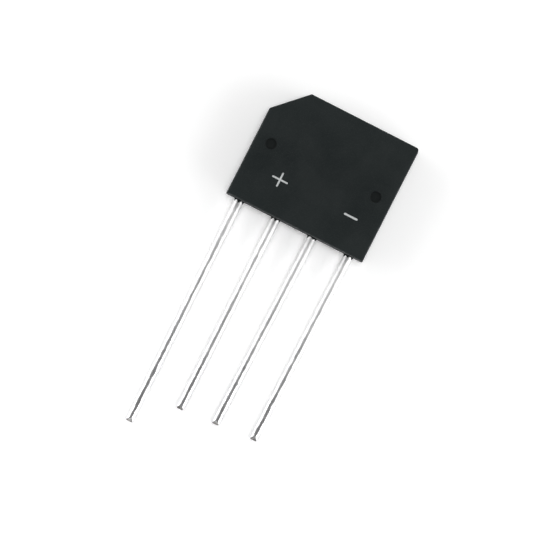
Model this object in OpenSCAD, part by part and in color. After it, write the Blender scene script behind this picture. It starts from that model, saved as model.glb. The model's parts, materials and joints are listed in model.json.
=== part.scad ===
// Single in-line bridge rectifier: a moulded epoxy block round four diode dies, with four round leads.
// It lies on its back. +X runs along the lead row from the positive to the negative lead, +Y points
// from the lead exits into the body, and +Z points out of the marked face. The origin is the middle
// of the lead row, on the seating edge and in the parting plane of the mould.

/* [Body] */
// Width of the body along the lead row
body_w = 19; // [18:0.1:22]
// Height of the body from the seating edge to the top
body_h = 15.85; // [14:0.05:18]
// Thickness of the body from the back to the marked face
body_t = 6.2; // [5:0.1:8]
// Length that the 45 degree corner takes off each side
corner_cut = 3.9; // [2:0.1:5]
// Radius of the upright corners at the marked face and at the back
corner_face_r = 0.12; // [0.05:0.01:1]
// Bevel round the marked face and the back
edge_bevel = 0.12; // [0.05:0.01:0.4]
// Draft of the side walls, away from the parting plane
draft_deg = 3; // [0.5:0.5:6]
// Height of the upright land at the parting plane, which is the seating edge below
land_t = 0.3; // [0.1:0.05:0.8]

/* [Ejector dimples] */
// Diameter of each dimple in the marked face
dimple_d = 1.5; // [0.8:0.1:2.5]
// Depth of each dimple
dimple_depth = 0.35; // [0.1:0.05:0.8]
// Distance of each dimple's centre from the nearer side of the body
dimple_side = 2.25; // [1.5:0.05:4]
// Height of the dimples above the seating edge
dimple_y = 7.95; // [4:0.05:11]

/* [Leads] */
// Distance between neighbouring leads at the body
lead_pitch = 5.08; // [4:0.01:5.3]
// Diameter of the round leads
lead_d = 1.25; // [0.9:0.05:1.4]
// Length of the positive lead below the seating edge
plus_lead_len = 30.7; // [6:0.1:40]
// Length of the alternating-current lead beside the positive one
ac_lead_a_len = 26.5; // [6:0.1:40]
// Length of the alternating-current lead beside the negative one
ac_lead_b_len = 26.2; // [6:0.1:40]
// Length of the negative lead below the seating edge
minus_lead_len = 25.8; // [6:0.1:40]
// Bevel round the cropped end of each lead
tip_bevel = 0.14; // [0.05:0.01:0.3]
// Length of each lead that runs straight down from the seating edge, to the knee where its lean starts
straight_len = 2.5; // [2.1:0.1:4]
// Inward lean of the positive lead
plus_lean_deg = 0.5; // [0.1:0.01:0.5]
// Inward lean of the alternating-current lead beside the positive one
ac_lean_a_deg = 0.2; // [0.1:0.01:0.5]
// Inward lean of the alternating-current lead beside the negative one
ac_lean_b_deg = 0.5; // [0.1:0.01:0.5]
// Inward lean of the negative lead
minus_lean_deg = 0.5; // [0.1:0.01:0.5]

/* [Lead heads] */
// Thickness of the flattened heads
head_t = 0.45; // [0.3:0.05:0.6]
// Width of each head between the round lead and its pads
neck_w = 2; // [1.4:0.1:2.4]
// Width of each head where it carries a die
pad_w = 2.7; // [2.5:0.1:3.2]
// Length over which a round lead is pressed flat
flare_len = 1.6; // [1:0.1:2]
// Length that the round lead runs in past the seating edge
shank_in = 0.1; // [0.06:0.01:0.14]
// Height of the lower row of dies above the seating edge
lower_row_y = 5; // [4:0.1:5.5]
// Height of the upper row of dies above the seating edge
upper_row_y = 10; // [9:0.1:11.5]

/* [Dies] */
// Side of each square die
die_w = 2.3; // [1.2:0.1:2.4]
// Thickness of each die
die_t = 0.3; // [0.2:0.02:0.4]
// Thickness of each solder layer
solder_t = 0.06; // [0.03:0.01:0.1]
// Margin of bare die round each solder layer
solder_margin = 0.1; // [0.05:0.05:0.3]

/* [Polarity marks] */
// Thickness of the printed ink
ink_t = 0.03; // [0.01:0.01:0.1]
// Distance of the + mark's centre from the positive side of the body
plus_side = 5.25; // [3:0.05:8]
// Height of the + mark's centre above the seating edge
plus_y = 4.5; // [3:0.05:7]
// Width of the + mark along the lead row
plus_w = 2.15; // [1:0.05:3]
// Height of the + mark
plus_h = 1.9; // [1:0.05:3]
// Stroke of the + mark
plus_stroke = 0.25; // [0.1:0.01:0.5]
// Distance of the - mark's centre from the negative side of the body
minus_side = 3.9; // [2:0.05:8]
// Height of the - mark's centre above the seating edge
minus_y = 4.4; // [3:0.05:7]
// Width of the - mark
minus_w = 1.85; // [1:0.05:3]
// Stroke of the - mark
minus_stroke = 0.28; // [0.1:0.01:0.5]

/* [Hidden] */
$fn = 48;
epoxy = [0.18, 0.19, 0.19];
tinned = [0.84, 0.84, 0.85];
silicon = [0.36, 0.38, 0.44];
solder_grey = [0.66, 0.67, 0.69];
ink = [0.84, 0.85, 0.85];

half_t = body_t / 2;
draft_in = (half_t - land_t / 2 - edge_bevel) * tan(draft_deg);
corner_land_r = corner_face_r + edge_bevel + draft_in;

// Places of the leads in the row, and the levels of their heads, as multiples of the pitch and of
// the stack: the outer pair lies under the dies and the inner pair over them
plus_at = -1.5;
ac_a_at = -0.5;
ac_b_at = 0.5;
minus_at = 1.5;
under = -1;
over = 1;
inner_gap = die_t + 2 * solder_t;

// The flare starts inside the round lead, smaller than it by this step
flare_step = 0.045;

// Each die: its name, the alternating-current lead over it, and its row
DIES = [
    ["plus_a", ac_a_at, upper_row_y],
    ["plus_b", ac_b_at, upper_row_y],
    ["minus_a", ac_a_at, lower_row_y],
    ["minus_b", ac_b_at, lower_row_y]
];
// Each solder layer: its name's end, and its side of the die
SIDES = [["under", under], ["over", over]];

// ---- Moulded body ----

// One upright corner of a mould half: the land, the drafted wall and the bevel, turned about its axis
module corner_post() {
    rotate_extrude()
        polygon([
            [0, 0],
            [corner_land_r, 0],
            [corner_land_r, land_t / 2],
            [corner_land_r - draft_in, half_t - edge_bevel],
            [corner_face_r, half_t],
            [0, half_t]
        ]);
}

// The half of the block above the parting plane, stretched over its five corners
module mould_half() {
    left = -body_w / 2;
    right = body_w / 2;
    r = corner_land_r;
    // at a 135 degree corner the post stands this far along the edge from the corner itself
    along = r * tan(22.5);
    hull()
        for (p = [
            [left + r, r],
            [right - r, r],
            [right - r, body_h - r],
            [left + corner_cut + along, body_h - r],
            [left + r, body_h - corner_cut - along]
        ])
            translate(p) corner_post();
}

module dimple(side) {
    translate([side * (body_w / 2 - dimple_side), dimple_y, half_t - dimple_depth])
        cylinder(h = 2 * dimple_depth, d = dimple_d);
}

// The block is moulded round the leads and dies, so it holds a cavity of exactly their shape
module body() {
    color(epoxy)
        difference() {
            union() {
                mould_half();
                mirror([0, 0, 1]) mould_half();
            }
            for (side = [-1, 1]) dimple(side);
            plus_lead();
            ac_lead_a();
            ac_lead_b();
            minus_lead();
            for (d = DIES) {
                die(d);
                for (s = SIDES) solder(d, s);
            }
        }
}

// ---- Leads, each one wire with its head pressed flat ----

// Lowest height of a head that lies on the given side of the dies
function head_z(level) = level * (inner_gap + head_t) / 2 - head_t / 2;

// A stretch of round wire with its cropped end bevelled, along +Z
module cropped_wire(len) {
    r = lead_d / 2;
    rotate_extrude()
        polygon([[0, 0], [r, 0], [r, len - tip_bevel], [r - tip_bevel, len], [0, len]]);
}

// Everything near a wire that lies below its knee, cut off along the knee's mitre
module below_knee(len, lean) {
    translate([0, -straight_len, 0])
        rotate(lean / 2)
            translate([-lead_d, -len, -lead_d]) cube([2 * lead_d, len, 2 * lead_d]);
}

// The round wire of a lead: straight down from inside the body to the knee, then leaning in
module shank(at, len, lean) {
    translate([at * lead_pitch, 0, 0])
        mirror([at > 0 ? 1 : 0, 0, 0]) {
            difference() {
                translate([0, shank_in, 0])
                    rotate([90, 0, 0]) cylinder(h = straight_len + lead_d, d = lead_d);
                below_knee(len, lean);
            }
            intersection() {
                translate([0, -straight_len, 0])
                    rotate(lean)
                        translate([0, lead_d, 0])
                            rotate([90, 0, 0]) cropped_wire(len - straight_len + lead_d);
                below_knee(len, lean);
            }
        }
}

// The stretch pressed from round to flat: a widening cone between two slanting faces
module flare(at, level) {
    start_r = lead_d / 2 - flare_step;
    start_z = start_r - flare_step;
    end_z = head_z(level);
    translate([at * lead_pitch, 0, 0])
        intersection() {
            rotate([-90, 0, 0]) cylinder(h = flare_len, r1 = start_r, r2 = neck_w / 2);
            rotate([90, 0, 90])
                linear_extrude(height = 2 * neck_w, center = true)
                    polygon([[0, -start_z], [flare_len, end_z], [flare_len, end_z + head_t], [0, start_z]]);
        }
}

// A flat stretch of a head, from the lower left to the upper right corner of its outline
module strip(level, low, high) {
    translate([low[0], low[1], head_z(level)]) cube([high[0] - low[0], high[1] - low[1], head_t]);
}

// The neck of a head, from inside the flare up to the given height
module neck(at, level, top) {
    x = at * lead_pitch;
    strip(level, [x - neck_w / 2, flare_len - head_t / 2], [x + neck_w / 2, top]);
}

// A lead of the outer pair: its head turns along a row and runs under both dies there
module outer_lead(at, len, lean, row_y) {
    far_at = at < 0 ? ac_b_at : ac_a_at;
    near_x = at * lead_pitch + sign(at) * neck_w / 2;
    far_x = far_at * lead_pitch - sign(at) * pad_w / 2;
    color(tinned)
        union() {
            shank(at, len, lean);
            flare(at, under);
            neck(at, under, row_y);
            strip(under, [min(near_x, far_x), row_y - pad_w / 2], [max(near_x, far_x), row_y + pad_w / 2]);
        }
}

// A lead of the inner pair: its head runs straight up over one die of each row
module inner_lead(at, len, lean) {
    x = at * lead_pitch;
    color(tinned)
        union() {
            shank(at, len, lean);
            flare(at, over);
            neck(at, over, lower_row_y);
            strip(over, [x - pad_w / 2, lower_row_y - pad_w / 2], [x + pad_w / 2, upper_row_y + pad_w / 2]);
        }
}

module plus_lead() outer_lead(plus_at, plus_lead_len, plus_lean_deg, upper_row_y);

module ac_lead_a() inner_lead(ac_a_at, ac_lead_a_len, ac_lean_a_deg);

module ac_lead_b() inner_lead(ac_b_at, ac_lead_b_len, ac_lean_b_deg);

module minus_lead() outer_lead(minus_at, minus_lead_len, minus_lean_deg, lower_row_y);

// ---- Dies and the solder on both their sides ----

module die(d) {
    color(silicon)
        translate([d[1] * lead_pitch, d[2], 0])
            cube([die_w, die_w, die_t], center = true);
}

module solder(d, s) {
    side = die_w - 2 * solder_margin;
    color(solder_grey)
        translate([d[1] * lead_pitch, d[2], s[1] * (die_t + solder_t) / 2])
            cube([side, side, solder_t], center = true);
}

// ---- Printed polarity marks ----

// A stroke with round ends, along X
module stroke(length, width) {
    run = length - width;
    square([run, width], center = true);
    for (end = [-1, 1]) translate([end * run / 2, 0]) circle(d = width);
}

module plus_mark() {
    color(ink)
        translate([plus_side - body_w / 2, plus_y, half_t])
            linear_extrude(height = ink_t) {
                stroke(plus_w, plus_stroke);
                rotate(90) stroke(plus_h, plus_stroke);
            }
}

module minus_mark() {
    color(ink)
        translate([body_w / 2 - minus_side, minus_y, half_t])
            linear_extrude(height = ink_t) stroke(minus_w, minus_stroke);
}

body();
plus_lead();
ac_lead_a();
ac_lead_b();
minus_lead();
for (d = DIES) {
    die(d);
    for (s = SIDES)
        solder(d, s);
}
plus_mark();
minus_mark();
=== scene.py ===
import json
import math
import random

import bmesh
import bpy
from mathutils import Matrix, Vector


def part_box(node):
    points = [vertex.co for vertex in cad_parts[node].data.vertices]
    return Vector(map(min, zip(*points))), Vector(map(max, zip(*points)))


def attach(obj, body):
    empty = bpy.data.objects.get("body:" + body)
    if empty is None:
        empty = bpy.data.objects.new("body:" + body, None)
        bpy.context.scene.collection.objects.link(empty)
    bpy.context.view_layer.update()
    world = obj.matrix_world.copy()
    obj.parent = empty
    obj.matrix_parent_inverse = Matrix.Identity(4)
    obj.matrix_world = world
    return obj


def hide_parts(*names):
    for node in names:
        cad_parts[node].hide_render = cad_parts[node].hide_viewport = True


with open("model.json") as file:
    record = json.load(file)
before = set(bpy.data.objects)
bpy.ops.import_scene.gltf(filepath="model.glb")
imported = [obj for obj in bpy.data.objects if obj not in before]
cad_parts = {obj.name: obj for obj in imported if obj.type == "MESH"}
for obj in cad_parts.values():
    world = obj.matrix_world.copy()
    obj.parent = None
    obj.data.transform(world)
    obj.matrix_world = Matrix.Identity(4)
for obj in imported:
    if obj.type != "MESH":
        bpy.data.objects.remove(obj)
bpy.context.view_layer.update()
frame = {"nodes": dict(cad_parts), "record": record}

MM = 0.001

# ---- Sizes of the moulding, in metres ----

CORNER_CUT = 3.9 * MM
SEAT_CORNER_R = 0.18 * MM
TOP_CORNER_R = 0.5 * MM
CUT_CORNER_R = 0.35 * MM
LEAST_CORNER_R = 0.05 * MM
EDGE_ROUND = 0.12 * MM
DRAFT = math.radians(3)
LAND = 0.3 * MM
SEAM_PROUD = 0.03 * MM
SEAM_HALF_H = 0.02 * MM
LAND_ROUND = 0.012 * MM
LAND_ROUND_H = 0.2 * MM
WALL_SHARES = (0.25, 0.5, 0.75, 0.96)
FACE_HOLDS = (0.03 * MM, 0.10 * MM)
CORNER_STEPS = 10
ROUND_STEPS = 5

DIMPLE_R = 0.75 * MM
DIMPLE_DEPTH = 0.35 * MM
DIMPLE_SIDE = 2.25 * MM
DIMPLE_Y = 7.95 * MM
DIMPLE_RIM = 0.06 * MM
DIMPLE_SEGMENTS = 64

# ---- Resin at the roots of the leads: its sizes, and in degrees where its tongues lie ----

FLASH_SKIN = 0.05 * MM
FLASH_HIDDEN = 0.10 * MM
FLASH_SIDES = (30, 90, 150)
FLASH_SWAY = 14
FLASH_SEGMENTS = 48
FLASH_SEED = 5

# ---- Sizes of the leads ----

TIP_ROUND = 0.14 * MM
TIP_SPARE = 0.01 * MM
CROP_LEN = 0.5 * MM
CROP_DEPTH = 0.2 * MM
SHANK_IN = 0.1 * MM
KNEE_AT = 2.5 * MM
FLARE_LEN = 1.6 * MM
FLARE_RINGS = 13
FLARE_SEGMENTS = 48
HEAD_OVERLAP = 0.2 * MM
HEAD_T = 0.45 * MM
NECK_W = 2.0 * MM
PAD_W = 2.7 * MM
LOWER_ROW_Y = 5.0 * MM
HEAD_ROUND = 0.05 * MM
HEAD_ROUND_STEPS = 3
BOX_SLACK = 0.1 * MM
WIRE_SEGMENTS = 64
WIRE_RINGS = 120
CREASE = math.radians(18)

# ---- Sizes of the printed marks ----

PLUS_STROKE = 0.22 * MM
MINUS_STROKE = 0.25 * MM
INK_SOFT = 0.6
STROKE_END_STEPS = 10

# ---- Sizes of the studio, in metres ----

FLOOR_HALF = 4
FLOOR_BLEND_FROM = 0.08
FLOOR_BLEND_TO = 0.4
CARD_HEIGHT = 0.6
CARD_HALF_WIDTH = 0.5
CARD_NEAR = -0.84
CARD_FAR = 0.2
LAMP_DISTANCE = 2.0

# ---- View ----

VIEW_ROLL = math.radians(27.03)
VIEW_CENTRE = (-0.286 * MM, -5.985 * MM)
VIEW_WIDTH = 66.62 * MM
VIEW_DISTANCE = 350 * MM
VIEW_NEAR = 0.01
VIEW_FAR = 20
SENSOR = 36


# ---- Node helpers ----

def new_material(name):
    """A material with its Principled shader and the two calls that add and join nodes."""
    mat = bpy.data.materials.new(name)
    mat.use_nodes = True
    tree = mat.node_tree
    shader = tree.nodes["Principled BSDF"]

    def add(kind, **values):
        node = tree.nodes.new(kind)
        for key, value in values.items():
            if hasattr(node, key):
                setattr(node, key, value)
            else:
                node.inputs[key.replace("_", " ")].default_value = value
        return node

    return mat, shader, add, tree.links.new


def object_noise(add, link, scale, detail, stretch=(1, 1, 1), roughness=0.5):
    """Noise on object coordinates, finer or coarser along each axis by stretch."""
    coords = add("ShaderNodeTexCoord")
    mapping = add("ShaderNodeMapping")
    mapping.inputs["Scale"].default_value = stretch
    noise = add("ShaderNodeTexNoise", Scale=scale, Detail=detail, Roughness=roughness)
    link(coords.outputs["Object"], mapping.inputs["Vector"])
    link(mapping.outputs["Vector"], noise.inputs["Vector"])
    return noise.outputs["Fac"]


def ramp(add, link, source, stops):
    """A colour ramp from source, with (position, grey or colour) stops."""
    node = add("ShaderNodeValToRGB")
    elements = node.color_ramp.elements
    while len(elements) < len(stops):
        elements.new(0.5)
    for element, (at, value) in zip(elements, stops):
        element.position = at
        element.color = (*value, 1) if isinstance(value, tuple) else (value, value, value, 1)
    link(source, node.inputs["Fac"])
    return node.outputs["Color"]


def add_bump(add, link, shader, height, distance, strength=1.0, normal=None):
    """Raises the surface by a height pattern, over an earlier bump if one is given."""
    bump = add("ShaderNodeBump", Strength=strength, Distance=distance)
    link(height, bump.inputs["Height"])
    if normal is not None:
        link(normal, bump.inputs["Normal"])
    link(bump.outputs["Normal"], shader.inputs["Normal"])
    return bump.outputs["Normal"]


# ---- Materials ----

def epoxy_material():
    """Charcoal moulding compound, finely eroded by the mould, with a painted highlight on its
    rounded edges and painted shade in its dimples.
    """
    mat, shader, add, link = new_material("moulded epoxy")
    shader.inputs["Specular IOR Level"].default_value = 0.15
    cloud = ramp(add, link, object_noise(add, link, 260, 4), [
        (0.35, (0.0074, 0.0104, 0.0108)),
        (0.65, (0.0130, 0.0163, 0.0166)),
    ])
    grains = object_noise(add, link, 9000, 2, roughness=0.7)
    filler = ramp(add, link, grains, [(0.52, 0.0), (0.66, 1.0)])
    speck = add("ShaderNodeMix", data_type="RGBA")
    link(cloud, speck.inputs["A"])
    speck.inputs["B"].default_value = (0.030, 0.033, 0.032, 1)
    amount = add("ShaderNodeMath", operation="MULTIPLY")
    link(filler, amount.inputs[0])
    amount.inputs[1].default_value = 0.6
    link(amount.outputs[0], speck.inputs["Factor"])
    # painted highlight: where the edge mask is set, on the rounded edges, the seam and the face's
    # rim, the colour turns paler, as if those edges caught the light
    edge_highlight = add("ShaderNodeAttribute", attribute_name="painted_edge_highlight")
    edge = add("ShaderNodeMix", data_type="RGBA")
    edge.inputs["B"].default_value = (0.021, 0.026, 0.026, 1)
    link(speck.outputs["Result"], edge.inputs["A"])
    link(edge_highlight.outputs["Fac"], edge.inputs["Factor"])
    # painted shade: the dimples' walls and floors turn darker, standing in for the shade inside
    # these recesses
    pin = add("ShaderNodeAttribute", attribute_name="painted_dimple_shade")
    dimple_shade_mix = add("ShaderNodeMix", data_type="RGBA")
    dimple_shade_mix.inputs["B"].default_value = (0.0085, 0.0105, 0.0105, 1)
    link(edge.outputs["Result"], dimple_shade_mix.inputs["A"])
    link(pin.outputs["Fac"], dimple_shade_mix.inputs["Factor"])
    link(dimple_shade_mix.outputs["Result"], shader.inputs["Base Color"])
    gloss = ramp(add, link, object_noise(add, link, 900, 3), [(0.3, 0.62), (0.7, 0.74)])
    link(gloss, shader.inputs["Roughness"])
    eroded = object_noise(add, link, 11000, 3, roughness=0.6)
    grain = add_bump(add, link, shader, eroded, 0.010 * MM)
    add_bump(add, link, shader, object_noise(add, link, 1400, 2), 0.012 * MM, 0.6, grain)
    return mat


def tinned_material():
    """Bright tin over drawn copper wire: frosted by the block, sharper and duller further out."""
    mat, shader, add, link = new_material("tinned copper")
    shader.inputs["Metallic"].default_value = 1
    coords = add("ShaderNodeTexCoord")
    axes = add("ShaderNodeSeparateXYZ")
    link(coords.outputs["Object"], axes.inputs["Vector"])
    along = add("ShaderNodeMapRange", From_Min=0.0, From_Max=-0.026, To_Min=0.0, To_Max=1.0)
    link(axes.outputs["Y"], along.inputs["Value"])
    dull = add("ShaderNodeMix", data_type="RGBA")
    dull.inputs["A"].default_value = (0.93, 0.93, 0.93, 1)
    dull.inputs["B"].default_value = (0.87, 0.87, 0.88, 1)
    link(along.outputs["Result"], dull.inputs["Factor"])
    lines = object_noise(add, link, 2600, 4, (1, 0.05, 1))
    streak = ramp(add, link, lines, [(0.3, 0.90), (0.6, 1.0)])
    tone = add("ShaderNodeMix", data_type="RGBA", blend_type="MULTIPLY")
    tone.inputs["Factor"].default_value = 1
    link(dull.outputs["Result"], tone.inputs["A"])
    link(streak, tone.inputs["B"])
    crop = add("ShaderNodeAttribute", attribute_name="cropped")
    bare = add("ShaderNodeMix", data_type="RGBA")
    bare.inputs["B"].default_value = (0.46, 0.44, 0.42, 1)
    link(tone.outputs["Result"], bare.inputs["A"])
    link(crop.outputs["Fac"], bare.inputs["Factor"])
    link(bare.outputs["Result"], shader.inputs["Base Color"])
    patches = object_noise(add, link, 1500, 3, (1, 0.3, 1))
    haze = ramp(add, link, patches, [(0.35, 0.18), (0.7, 0.30)])
    blotches = object_noise(add, link, 900, 3, (1, 0.4, 1))
    frosted = ramp(add, link, blotches, [(0.35, 0.46), (0.7, 0.60)])
    sheen = add("ShaderNodeMix", data_type="RGBA")
    link(along.outputs["Result"], sheen.inputs["Factor"])
    link(frosted, sheen.inputs["A"])
    link(haze, sheen.inputs["B"])
    link(sheen.outputs["Result"], shader.inputs["Roughness"])
    waves = object_noise(add, link, 900, 4, (1, 0.7, 1))
    dents = add_bump(add, link, shader, waves, 0.16 * MM, 0.9)
    drawn = object_noise(add, link, 6000, 3, (1, 0.04, 1))
    add_bump(add, link, shader, drawn, 0.003 * MM, 0.6, dents)
    return mat


def ink_material():
    """Pale printing ink, thin in places over the grain of the moulding."""
    mat, shader, add, link = new_material("printed ink")
    tone = ramp(add, link, object_noise(add, link, 7000, 3), [
        (0.30, (0.38, 0.40, 0.40)),
        (0.55, (0.54, 0.56, 0.56)),
    ])
    link(tone, shader.inputs["Base Color"])
    shader.inputs["Roughness"].default_value = 0.6
    shader.inputs["Specular IOR Level"].default_value = 0.3
    add_bump(add, link, shader, object_noise(add, link, 11000, 2), 0.006 * MM)
    return mat


def silicon_material():
    """Polished blue-grey silicon with a faint sawn grain."""
    mat, shader, add, link = new_material("silicon")
    shader.inputs["Metallic"].default_value = 0.8
    tone = ramp(add, link, object_noise(add, link, 1200, 2, (1, 0.1, 1)), [
        (0.3, (0.09, 0.10, 0.14)),
        (0.7, (0.13, 0.14, 0.19)),
    ])
    link(tone, shader.inputs["Base Color"])
    shader.inputs["Roughness"].default_value = 0.18
    add_bump(add, link, shader, object_noise(add, link, 9000, 2, (1, 0.05, 1)), 0.001 * MM)
    return mat


def solder_material():
    """Dull grey solder with a frosty grain."""
    mat, shader, add, link = new_material("solder")
    shader.inputs["Metallic"].default_value = 1
    tone = ramp(add, link, object_noise(add, link, 3000, 4), [(0.3, 0.36), (0.7, 0.48)])
    link(tone, shader.inputs["Base Color"])
    shader.inputs["Roughness"].default_value = 0.42
    add_bump(add, link, shader, object_noise(add, link, 5000, 4), 0.004 * MM)
    return mat


# ---- Mesh helpers ----

def finished(name, bm, mat, smooth=True):
    """A closed mesh object from bm, at the origin, with its faces outwards."""
    bmesh.ops.recalc_face_normals(bm, faces=bm.faces)
    mesh = bpy.data.meshes.new(name)
    bm.to_mesh(mesh)
    bm.free()
    mesh.materials.append(mat)
    mesh.polygons.foreach_set("use_smooth", [smooth] * len(mesh.polygons))
    obj = bpy.data.objects.new(name, mesh)
    bpy.context.scene.collection.objects.link(obj)
    return obj


def bridge(bm, lower, upper):
    """Joins two rings of as many points with a band of quads."""
    count = len(lower)
    for i in range(count):
        j = (i + 1) % count
        bm.faces.new((lower[i], lower[j], upper[j], upper[i]))


def ring_of(bm, points):
    """New vertices of bm at the points."""
    return [bm.verts.new(p) for p in points]


def arc(centre, radius, start, end, steps):
    """Points of an arc in a plane, both its ends included."""
    return [
        (centre[0] + radius * math.cos(a), centre[1] + radius * math.sin(a))
        for a in (start + (end - start) * i / steps for i in range(steps + 1))
    ]


def quarter_circle():
    """The sine and cosine at each step of a small quarter-round edge."""
    turns = (0.5 * math.pi * i / ROUND_STEPS for i in range(ROUND_STEPS + 1))
    return [(math.sin(a), math.cos(a)) for a in turns]


# ---- Moulded body ----

def body_outline(inset):
    """The five-cornered outline of the block, set in from its parting line, with round corners."""
    seat, top_r, cut_r = (
        max(r - inset, LEAST_CORNER_R) for r in (SEAT_CORNER_R, TOP_CORNER_R, CUT_CORNER_R)
    )
    low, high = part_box("body")
    left, right = low.x + inset, high.x - inset
    bottom, top = low.y + inset, high.y - inset
    # the cut corner's face moves in square to itself, which shortens its legs
    cut = CORNER_CUT + inset * (math.sqrt(2) - 2)
    along = cut_r * math.tan(math.pi / 8)
    corners = [
        ((left + seat, bottom + seat), seat, 4, 6),
        ((right - seat, bottom + seat), seat, 6, 8),
        ((right - top_r, top - top_r), top_r, 0, 2),
        ((left + cut + along, top - cut_r), cut_r, 2, 3),
        ((left + cut_r, top - cut - along), cut_r, 3, 4),
    ]
    # each corner turns between two eighths of a circle
    eighth = math.pi / 4
    return [
        p for centre, radius, start, end in corners
        for p in arc(centre, radius, start * eighth, end * eighth, CORNER_STEPS)
    ]


def body_levels(half):
    """(height, inset, share of painted edge highlight) of each ring, from the parting plane to the
    face.
    """
    wall_top = half - EDGE_ROUND
    draft_in = (wall_top - LAND / 2) * math.tan(DRAFT)
    seam = SEAM_PROUD
    # the third value of each level is its share of the painted highlight: part of it at the seam,
    # all of it on the rounded edge and a quarter on the face's rim
    levels = [
        (0.35 * seam, 0, 0.5),
        (SEAM_HALF_H, seam, 0.2),
        (LAND / 2, seam, 0.0),
        (LAND / 2 + LAND_ROUND_H, seam + LAND_ROUND, 0.0),
    ]
    for share in WALL_SHARES:
        height = LAND / 2 + (wall_top - LAND / 2) * share
        inset = seam + (draft_in - seam) * share
        levels.append((height, inset, 0.0))
    for sine, cosine in quarter_circle():
        inset = draft_in + EDGE_ROUND * (1 - cosine)
        levels.append((wall_top + EDGE_ROUND * sine, inset, 1.0))
    # two holding rings keep the wide face flat right up to its rounded edge
    for more in FACE_HOLDS:
        inset = draft_in + EDGE_ROUND + more
        levels.append((half, inset, 0.25))
    return levels


def dimple_profile(half):
    """(radius, height) of each ring of a dimple, from the face down to its floor."""
    floor = half - DIMPLE_DEPTH
    wall_r = DIMPLE_R - DIMPLE_RIM
    profile = [(DIMPLE_R + DIMPLE_RIM, half), (DIMPLE_R + 0.3 * DIMPLE_RIM, half)]
    for sine, cosine in quarter_circle():
        profile.append((wall_r + DIMPLE_RIM * (1 - sine), half - DIMPLE_RIM * (1 - cosine)))
    for sine, cosine in quarter_circle():
        profile.append((wall_r - DIMPLE_RIM * (1 - cosine), floor + DIMPLE_RIM * (1 - sine)))
    profile.append((wall_r * 0.5, floor))
    return profile


def cut_dimple(bm, centre, half, painted_dimple_shade):
    """Adds a dimple's rings and floor, and returns its outer ring."""
    rings = []
    turn = [2 * math.pi * i / DIMPLE_SEGMENTS for i in range(DIMPLE_SEGMENTS)]
    for radius, height in dimple_profile(half):
        rings.append(ring_of(bm, [
            (centre[0] + radius * math.cos(a), centre[1] + radius * math.sin(a), height)
            for a in turn
        ]))
    for upper, lower in zip(rings, rings[1:]):
        bridge(bm, upper, lower)
    bm.faces.new(rings[-1])
    # below the rounded rim, the walls and the floor carry the painted shade mask
    for ring in rings[ROUND_STEPS + 1:]:
        for vert in ring:
            vert[painted_dimple_shade] = 1.0
    return rings[0]


def close_face(bm, loops):
    """Fills the flat face between its outline and the holes in it."""
    edges = []
    for loop in loops:
        for a, b in zip(loop, loop[1:] + loop[:1]):
            edges.append(bm.edges.get((a, b)) or bm.edges.new((a, b)))
    bmesh.ops.triangle_fill(bm, edges=edges, use_beauty=True)


def make_body(mat):
    """The epoxy block: two drafted halves with a faint seam, and two dimples in the face."""
    low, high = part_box("body")
    half = high.z
    bm = bmesh.new()
    # painted highlight: a mask, made paler by the material, on the rounded edges, the seam and the
    # face's rim
    painted_edge_highlight = bm.verts.layers.float.new("painted_edge_highlight")
    # painted shade: a mask, made darker by the material, on the walls and floors of the dimples
    painted_dimple_shade = bm.verts.layers.float.new("painted_dimple_shade")
    rings = []
    levels = body_levels(half)
    for side, run in ((-1, reversed(levels)), (1, levels)):
        for height, inset, edge_highlight in run:
            ring = ring_of(bm, [(x, y, side * height) for x, y in body_outline(inset)])
            for vert in ring:
                vert[painted_edge_highlight] = edge_highlight
            rings.append(ring)
    for lower, upper in zip(rings, rings[1:]):
        bridge(bm, lower, upper)
    close_face(bm, [rings[0]])
    holes = [
        cut_dimple(bm, (x, DIMPLE_Y), half, painted_dimple_shade)
        for x in (low.x + DIMPLE_SIDE, high.x - DIMPLE_SIDE)
    ]
    close_face(bm, [rings[-1]] + holes)
    return finished("body_moulding", bm, mat)


# ---- Resin that crept out along the leads ----

def make_flash(pins, mat):
    """A thin ragged collar of resin round each lead where it leaves the block."""
    rng = random.Random(FLASH_SEED)
    skin = FLASH_SKIN
    bm = bmesh.new()
    for pin in pins:
        x, radius = pin["root_x"], pin["radius"]
        left, middle, right = FLASH_SIDES
        tongues = [
            (math.radians(side), rng.uniform(0.18, 0.38) * MM, rng.uniform(0.2, 0.34))
            for side in (left, middle + rng.uniform(-FLASH_SWAY, FLASH_SWAY), right)
        ]
        hidden, root, shoulder, lip = [], [], [], []
        for i in range(FLASH_SEGMENTS):
            a = 2 * math.pi * i / FLASH_SEGMENTS
            reach = rng.uniform(0.02, 0.05) * MM
            for at, length, width in tongues:
                gap = (a - at + math.pi) % (2 * math.pi) - math.pi
                reach += length * math.exp(-(gap / width) ** 2)
            for ring, out, y in (
                (hidden, -skin, FLASH_HIDDEN),
                (root, 1.6 * skin, FLASH_HIDDEN),
                (shoulder, 0.8 * skin, -0.45 * reach),
                (lip, -0.2 * skin, -reach),
            ):
                ring.append((x + (radius + out) * math.cos(a), y, (radius + out) * math.sin(a)))
        rings = [ring_of(bm, ring) for ring in (hidden, root, shoulder, lip)]
        for a, b in zip(rings, rings[1:] + rings[:1]):
            bridge(bm, a, b)
    return finished("resin_flash", bm, mat)


# ---- Leads ----

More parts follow.
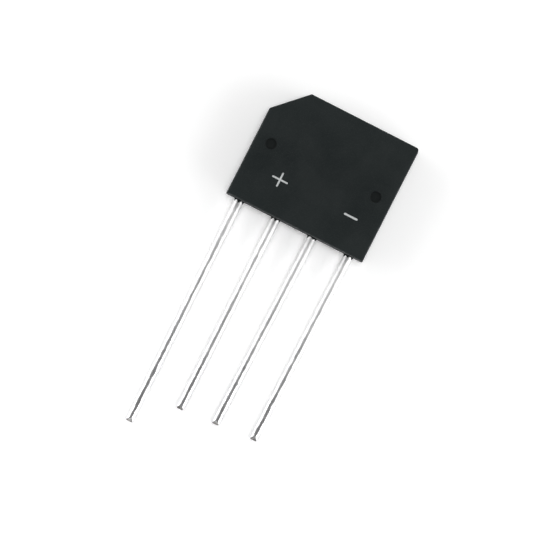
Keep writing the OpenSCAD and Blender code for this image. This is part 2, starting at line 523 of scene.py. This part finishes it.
def wire_tree():
    """Geometry nodes for one lead's wire: straight, leaning past the knee, round at its tip."""
    tree = bpy.data.node_groups.new("lead wire", "GeometryNodeTree")
    face = tree.interface
    sizes = ("Root X", "Start Y", "Knee Y", "Lean", "Length", "Radius", "Tip Round")
    for name in sizes:
        face.new_socket(name, in_out="INPUT", socket_type="NodeSocketFloat")
    face.new_socket("Finish", in_out="INPUT", socket_type="NodeSocketMaterial")
    face.new_socket("Geometry", in_out="OUTPUT", socket_type="NodeSocketGeometry")
    link = tree.links.new
    group_in = tree.nodes.new("NodeGroupInput")
    group_out = tree.nodes.new("NodeGroupOutput")
    size = group_in.outputs

    def math_node(kind, a, b=0.0, c=0.0, clamp=False):
        node = tree.nodes.new("ShaderNodeMath")
        node.operation = kind
        node.use_clamp = clamp
        for socket, value in zip(node.inputs, (a, b, c)):
            if isinstance(value, (int, float)):
                socket.default_value = value
            else:
                link(value, socket)
        return node.outputs[0]

    # rings crowd towards the tip: each stands at 1 - (1 - share) cubed of the length
    line = tree.nodes.new("GeometryNodeMeshLine")
    line.inputs["Count"].default_value = WIRE_RINGS
    index = tree.nodes.new("GeometryNodeInputIndex")
    share = math_node("DIVIDE", index.outputs[0], WIRE_RINGS - 1)
    left = math_node("POWER", math_node("SUBTRACT", 1.0, share), 3.0)
    total = math_node("ADD", size["Length"], size["Start Y"])
    to_tip = math_node("MULTIPLY", left, total)
    down = math_node("SUBTRACT", total, to_tip)
    y = math_node("SUBTRACT", size["Start Y"], down)
    past_knee = math_node("MAXIMUM", math_node("SUBTRACT", size["Knee Y"], y), 0.0)
    x = math_node("ADD", size["Root X"], math_node("MULTIPLY", past_knee, size["Lean"]))
    place = tree.nodes.new("ShaderNodeCombineXYZ")
    link(x, place.inputs["X"])
    link(y, place.inputs["Y"])
    put = tree.nodes.new("GeometryNodeSetPosition")
    link(line.outputs["Mesh"], put.inputs["Geometry"])
    link(place.outputs[0], put.inputs["Position"])

    # within the round of the tip the radius follows a quarter circle
    into = math_node("MAXIMUM", math_node("SUBTRACT", size["Tip Round"], to_tip), 0.0)
    round_squared = math_node("POWER", size["Tip Round"], 2.0)
    square = math_node("SUBTRACT", round_squared, math_node("POWER", into, 2.0))
    dome = math_node("SQRT", math_node("MAXIMUM", square, 0.0))
    core = math_node("SUBTRACT", size["Radius"], size["Tip Round"])
    thick = math_node("ADD", core, dome)
    stored = tree.nodes.new("GeometryNodeStoreNamedAttribute")
    stored.data_type = "FLOAT"
    stored.domain = "POINT"
    stored.inputs["Name"].default_value = "thick"
    link(put.outputs["Geometry"], stored.inputs["Geometry"])
    link(thick, stored.inputs["Value"])
    curve = tree.nodes.new("GeometryNodeMeshToCurve")
    link(stored.outputs["Geometry"], curve.inputs["Mesh"])
    named = tree.nodes.new("GeometryNodeInputNamedAttribute")
    named.data_type = "FLOAT"
    named.inputs["Name"].default_value = "thick"
    section = tree.nodes.new("GeometryNodeCurvePrimitiveCircle")
    section.inputs["Resolution"].default_value = WIRE_SEGMENTS
    section.inputs["Radius"].default_value = 1.0
    sweep = tree.nodes.new("GeometryNodeCurveToMesh")
    sweep.inputs["Fill Caps"].default_value = True
    link(curve.outputs["Curve"], sweep.inputs["Curve"])
    link(named.outputs["Attribute"], sweep.inputs["Scale"])
    link(section.outputs["Curve"], sweep.inputs["Profile Curve"])
    real = tree.nodes.new("GeometryNodeRealizeInstances")
    paint = tree.nodes.new("GeometryNodeSetMaterial")
    link(sweep.outputs["Mesh"], real.inputs["Geometry"])
    link(real.outputs["Geometry"], paint.inputs["Geometry"])
    link(size["Finish"], paint.inputs["Material"])
    link(paint.outputs["Geometry"], group_out.inputs["Geometry"])
    return tree


def socket_ids(tree):
    """The identifier of each of the tree's inputs, by its name."""
    inputs = (item for item in tree.interface.items_tree if item.in_out == "INPUT")
    return {item.name: item.identifier for item in inputs}


def evaluated_mesh(obj, name):
    """The object's mesh with its modifiers worked in, as a mesh of its own."""
    graph = bpy.context.evaluated_depsgraph_get()
    mesh = bpy.data.meshes.new_from_object(obj.evaluated_get(graph))
    mesh.name = name
    return mesh


def make_wire(tree, pin, mat):
    """One lead's round wire, as a plain mesh object."""
    obj = bpy.data.objects.new("wire", bpy.data.meshes.new("wire"))
    bpy.context.scene.collection.objects.link(obj)
    grow = obj.modifiers.new("wire", "NODES")
    grow.node_group = tree
    ids = socket_ids(tree)
    for name, value in (
        ("Root X", pin["root_x"]),
        ("Start Y", SHANK_IN),
        ("Knee Y", -KNEE_AT),
        ("Lean", pin["lean"]),
        ("Length", pin["length"]),
        ("Radius", pin["radius"]),
        ("Tip Round", TIP_ROUND),
        ("Finish", mat),
    ):
        grow[ids[name]] = value
    obj.data = evaluated_mesh(obj, "wire")
    obj.modifiers.clear()
    return obj


def flare_ring(bm, x, radius, share, level):
    """A ring of the stretch that turns from round wire, at share 0, to flat head, at share 1."""
    # the power of the ring's superellipse: 2 is round, and a high one nearly square
    power = 2 + 8 * share ** 1.5
    wide = (1 - share) * radius + share * NECK_W / 2
    thick = (1 - share) * radius + share * HEAD_T / 2
    centre = share * level
    y = share * FLARE_LEN
    points = []
    for i in range(FLARE_SEGMENTS):
        a = 2 * math.pi * i / FLARE_SEGMENTS
        c, s = math.cos(a), math.sin(a)
        points.append((
            x + wide * math.copysign(abs(c) ** (2 / power), c),
            y,
            centre + thick * math.copysign(abs(s) ** (2 / power), s),
        ))
    return ring_of(bm, points)


def make_flare(x, radius, level, mat):
    """The stretch of a lead that is pressed from round to flat."""
    bm = bmesh.new()
    rings = [
        flare_ring(bm, x, radius, i / (FLARE_RINGS - 1), level) for i in range(FLARE_RINGS)
    ]
    for lower, upper in zip(rings, rings[1:]):
        bridge(bm, lower, upper)
    bm.faces.new(rings[0])
    bm.faces.new(rings[-1])
    return finished("flare", bm, mat)


def make_plate(outline, bottom, mat):
    """A flat stamped head from its outline, with its edges a little rounded."""
    bm = bmesh.new()
    face = bm.faces.new(ring_of(bm, [(x, y, bottom) for x, y in outline]))
    top = bmesh.ops.extrude_face_region(bm, geom=[face])
    lifted = [v for v in top["geom"] if isinstance(v, bmesh.types.BMVert)]
    bmesh.ops.translate(bm, verts=lifted, vec=(0, 0, HEAD_T))
    bmesh.ops.bevel(
        bm, geom=bm.edges[:], offset=HEAD_ROUND, segments=HEAD_ROUND_STEPS, affect="EDGES"
    )
    return finished("plate", bm, mat, smooth=False)


def head_outline(node, x):
    """The outline of a lead's head: an outer lead's turned arm, or an inner lead's pad."""
    low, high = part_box(node)
    foot = FLARE_LEN - HEAD_OVERLAP
    inner, outer = x + NECK_W / 2, x - NECK_W / 2
    if min(x - low.x, high.x - x) < PAD_W / 2 - BOX_SLACK:
        # an outer lead: its arm runs along a row to the far end of the box
        if x > 0:
            inner, outer = outer, inner
        far = high.x if x < 0 else low.x
        return [
            (outer, foot), (inner, foot), (inner, high.y - PAD_W),
            (far, high.y - PAD_W), (far, high.y), (outer, high.y),
        ]
    shoulder = LOWER_ROW_Y - PAD_W / 2
    left, right = x - PAD_W / 2, x + PAD_W / 2
    return [
        (outer, foot), (inner, foot), (inner, shoulder), (right, shoulder),
        (right, high.y), (left, high.y), (left, shoulder), (outer, shoulder),
    ]


def crop_tip(mesh, tip_y, radius):
    """Flattens the end of a wire above and below, as cutters leave it, and marks the cut faces."""
    cropped = mesh.attributes.new("cropped", "FLOAT", "POINT")
    for vert, mark in zip(mesh.vertices, cropped.data):
        into = 1 - (vert.co.y - tip_y) / CROP_LEN
        limit = radius - CROP_DEPTH * into
        if into > 0 and abs(vert.co.z) > limit:
            vert.co.z = math.copysign(limit, vert.co.z)
            mark.value = into


def make_lead(tree, pin, mat):
    """A whole lead: the wire, its flare and its flat head, fused into one closed mesh."""
    low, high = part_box(pin["node"])
    under = -low.z > high.z
    bottom = low.z if under else high.z - HEAD_T
    wire = make_wire(tree, pin, mat)
    x = pin["root_x"]
    parts = [
        make_flare(x, pin["radius"], bottom + HEAD_T / 2, mat),
        make_plate(head_outline(pin["node"], x), bottom, mat),
    ]
    for part in parts:
        join = wire.modifiers.new("join", "BOOLEAN")
        join.operation = "UNION"
        join.solver = "EXACT"
        join.object = part
    name = pin["node"] + "_wire"
    lead = bpy.data.objects.new(name, evaluated_mesh(wire, name))
    bpy.context.scene.collection.objects.link(lead)
    for scrap in [wire] + parts:
        bpy.data.objects.remove(scrap)
    lead.data.materials.clear()
    lead.data.materials.append(mat)
    crop_tip(lead.data, low.y + TIP_SPARE, pin["radius"])
    lead.data.polygons.foreach_set("use_smooth", [True] * len(lead.data.polygons))
    lead.data.set_sharp_from_angle(angle=CREASE)
    return lead


def read_pins():
    """Each lead's place, lean and size, from the mounts in the record."""
    pins = []
    for node, mount in (
        ("plus_lead", "plus_pin"),
        ("ac_lead_a", "ac_pin_a"),
        ("ac_lead_b", "ac_pin_b"),
        ("minus_lead", "minus_pin"),
    ):
        stated = next(m for m in frame["record"]["mounts"] if m["name"] == mount)
        lean = -stated["axis"][0] / stated["axis"][1]
        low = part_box(node)[0]
        pins.append({
            "node": node,
            "root_x": stated["pos_m"][0] + lean * KNEE_AT,
            "lean": lean,
            "length": -low.y - TIP_SPARE,
            "radius": stated["dims"]["r_mm"] * MM,
        })
    return pins


# ---- Printed marks ----

def stroke_end(x, y, heading, width):
    """Points of a stroke's round end, whose middle is at x, y and which points along heading."""
    quarter = 0.5 * math.pi
    return arc((x, y), width / 2, heading - quarter, heading + quarter, STROKE_END_STEPS)


def make_mark(node, name, outline, mat):
    """A printed mark from its outline, as thick as its CAD node, with a soft upper edge."""
    low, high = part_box(node)
    bm = bmesh.new()
    thickness = high.z - low.z
    soft = thickness * INK_SOFT
    middle = Vector(((low.x + high.x) / 2, (low.y + high.y) / 2, 0))
    rings = []
    for height, shrink in (
        (0, 0),
        (thickness - soft, 0),
        (thickness - 0.3 * soft, 0.35 * soft),
        (thickness, soft),
    ):
        rings.append(ring_of(bm, [
            (middle.x + x - nx * shrink, middle.y + y - ny * shrink, low.z + height)
            for (x, y), (nx, ny) in zip(outline, outline_normals(outline))
        ]))
    for lower, upper in zip(rings, rings[1:]):
        bridge(bm, lower, upper)
    close_face(bm, [rings[0]])
    close_face(bm, [rings[-1]])
    return finished(name, bm, mat)


def outline_normals(outline):
    """The outward direction at each point of an outline that runs anticlockwise."""
    normals = []
    for i in range(len(outline)):
        before, after = outline[i - 1], outline[(i + 1) % len(outline)]
        run = Vector((after[0] - before[0], after[1] - before[1])).normalized()
        normals.append((run.y, -run.x))
    return normals


def plus_outline(width, height):
    """The outline of the + mark: four arms with round ends."""
    w = PLUS_STROKE
    points = []
    for heading, reach in ((0, width), (0.5, height), (1, width), (1.5, height)):
        turn = heading * math.pi
        out = reach / 2 - w / 2
        points += stroke_end(out * math.cos(turn), out * math.sin(turn), turn, w)
        # the inner corner before the next arm
        diagonal = turn + 0.25 * math.pi
        corner = w / math.sqrt(2)
        points.append((corner * math.cos(diagonal), corner * math.sin(diagonal)))
    return points


def minus_outline(width):
    """The outline of the - mark: one stroke with round ends."""
    out = width / 2 - MINUS_STROKE / 2
    return stroke_end(out, 0, 0, MINUS_STROKE) + stroke_end(-out, 0, math.pi, MINUS_STROKE)


def mark_size(node):
    """The width and height of a printed mark's CAD node."""
    low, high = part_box(node)
    return high.x - low.x, high.y - low.y


# ---- Studio ----

def soft_lamp(name, azimuth, elevation, size, level, mirrored=True):
    """A square soft lamp aimed at the part, whose own share of the floor's brightness is level."""
    distance = LAMP_DISTANCE
    a, e = math.radians(azimuth), math.radians(elevation)
    out = Vector((math.cos(a) * math.cos(e), math.sin(a) * math.cos(e), math.sin(e)))
    light = bpy.data.lights.new(name, "AREA")
    light.shape = "SQUARE"
    light.size = size
    light.energy = level * (math.pi * distance) ** 2 / math.sin(e)
    lamp = bpy.data.objects.new(name, light)
    lamp.location = out * distance
    lamp.rotation_euler = (-out).to_track_quat("-Z", "Y").to_euler()
    lamp.visible_camera = False
    lamp.visible_glossy = mirrored
    bpy.context.scene.collection.objects.link(lamp)


def background_rays(nodes, link):
    """1 on a ray that shows the background, straight, in a mirror or through glass, and else 0."""
    path = nodes.new("ShaderNodeLightPath")
    seen = path.outputs["Is Camera Ray"]
    for ray in ("Is Glossy Ray", "Is Transmission Ray"):
        either = nodes.new("ShaderNodeMath")
        either.operation = "MAXIMUM"
        link(seen, either.inputs[0])
        link(path.outputs[ray], either.inputs[1])
        seen = either.outputs[0]
    return seen


def white_room(level):
    """A white room: plain white to the camera and in reflections, dimmer as a light."""
    world = bpy.data.worlds.new("room")
    bpy.context.scene.world = world
    world.use_nodes = True
    nodes, link = world.node_tree.nodes, world.node_tree.links.new
    background = nodes["Background"]
    strength = nodes.new("ShaderNodeMapRange")
    strength.inputs["To Min"].default_value = level
    strength.inputs["To Max"].default_value = 1.0
    link(background_rays(nodes, link), strength.inputs["Value"])
    link(strength.outputs["Result"], background.inputs["Strength"])
    background.inputs["Color"].default_value = (1, 1, 1, 1)


def overhead_card(level):
    """A dim card over the part, which its upward faces mirror. The camera looks past it."""
    bm = bmesh.new()
    wide, near, far = CARD_HALF_WIDTH, CARD_NEAR, CARD_FAR
    corners = ((-wide, near), (wide, near), (wide, far), (-wide, far))
    bm.faces.new(ring_of(bm, [(x, y, CARD_HEIGHT) for x, y in corners]))
    mat = bpy.data.materials.new("card")
    mat.use_nodes = True
    nodes = mat.node_tree.nodes
    nodes.remove(nodes["Principled BSDF"])
    glow = nodes.new("ShaderNodeEmission")
    glow.inputs["Strength"].default_value = level
    mat.node_tree.links.new(glow.outputs[0], nodes["Material Output"].inputs["Surface"])
    card = finished("overhead_card", bm, mat, smooth=False)
    card.visible_camera = False
    card.visible_shadow = False


def white_floor(height):
    """A pale floor that keeps the part's shadow near it and turns plain white further out."""
    bm = bmesh.new()
    bmesh.ops.create_grid(bm, x_segments=1, y_segments=1, size=FLOOR_HALF)
    bmesh.ops.translate(bm, verts=bm.verts, vec=(0, 0, height))
    mat, shader, add, link = new_material("white paper")
    shader.inputs["Roughness"].default_value = 0.9
    shader.inputs["Specular IOR Level"].default_value = 0.0
    seen = background_rays(mat.node_tree.nodes, link)
    tone = add("ShaderNodeMix", data_type="RGBA")
    tone.inputs["A"].default_value = (0.80, 0.80, 0.80, 1)
    tone.inputs["B"].default_value = (1.13, 1.13, 1.13, 1)
    link(seen, tone.inputs["Factor"])
    link(tone.outputs["Result"], shader.inputs["Base Color"])
    coords = add("ShaderNodeTexCoord")
    distance = add("ShaderNodeVectorMath", operation="LENGTH")
    link(coords.outputs["Object"], distance.inputs[0])
    far = add("ShaderNodeMapRange", From_Min=FLOOR_BLEND_FROM, From_Max=FLOOR_BLEND_TO)
    link(distance.outputs["Value"], far.inputs["Value"])
    blend = add("ShaderNodeMath", operation="MULTIPLY")
    link(far.outputs["Result"], blend.inputs[0])
    link(seen, blend.inputs[1])
    glow = add("ShaderNodeEmission")
    mix = add("ShaderNodeMixShader")
    link(blend.outputs[0], mix.inputs[0])
    link(shader.outputs[0], mix.inputs[1])
    link(glow.outputs[0], mix.inputs[2])
    link(mix.outputs[0], mat.node_tree.nodes["Material Output"].inputs["Surface"])
    floor = finished("floor", bm, mat, smooth=False)


def add_camera():
    """A long lens straight over the part, rolled as the part lies in view."""
    camera = bpy.data.objects.new("camera", bpy.data.cameras.new("camera"))
    bpy.context.scene.collection.objects.link(camera)
    face_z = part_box("body")[1].z
    camera.location = (*VIEW_CENTRE, face_z + VIEW_DISTANCE)
    camera.rotation_euler = (0, 0, VIEW_ROLL)
    camera.data.sensor_width = SENSOR
    camera.data.lens = SENSOR * VIEW_DISTANCE / VIEW_WIDTH
    camera.data.clip_start = VIEW_NEAR
    camera.data.clip_end = VIEW_FAR
    bpy.context.scene.camera = camera


# ---- The whole part ----

def dress(node, mat):
    """Gives a CAD node that stays as it is its material."""
    mesh = frame["nodes"][node].data
    mesh.materials.clear()
    mesh.materials.append(mat)


def stand_for(piece, slot, *nodes):
    """The piece rides on the part and is shown in place of the nodes. The slot is not used."""
    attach(piece, "root")
    if nodes:
        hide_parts(*nodes)


def build():
    """Makes every piece of the part and dresses the dies and the solder."""
    epoxy, tin, ink = epoxy_material(), tinned_material(), ink_material()
    silicon, solder = silicon_material(), solder_material()
    pins = read_pins()
    stand_for(make_body(epoxy), "epoxy", "body")
    stand_for(make_flash(pins, epoxy), "epoxy")
    tree = wire_tree()
    for pin in pins:
        stand_for(make_lead(tree, pin, tin), "tinned_copper", pin["node"])
    width, height = mark_size("plus_mark")
    plus = make_mark("plus_mark", "plus_print", plus_outline(width, height), ink)
    stand_for(plus, "ink", "plus_mark")
    width = mark_size("minus_mark")[0]
    minus = make_mark("minus_mark", "minus_print", minus_outline(width), ink)
    stand_for(minus, "ink", "minus_mark")
    for node in frame["nodes"]:
        if node.startswith("die_"):
            dress(node, silicon)
        elif node.startswith("solder_"):
            dress(node, solder)


def light():
    """The studio: a white room and floor, a dim card overhead and three soft lamps."""
    white_room(level=0.40)
    overhead_card(level=0.19)
    white_floor(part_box("body")[0].z)
    soft_lamp("top", azimuth=60, elevation=87.5, size=0.5, level=0.42, mirrored=False)
    soft_lamp("right", azimuth=0, elevation=36, size=1.6, level=0.22)
    soft_lamp("left", azimuth=180, elevation=32, size=1.6, level=0.13)


build()
light()
add_camera()
bpy.context.scene.view_settings.view_transform = "Standard"
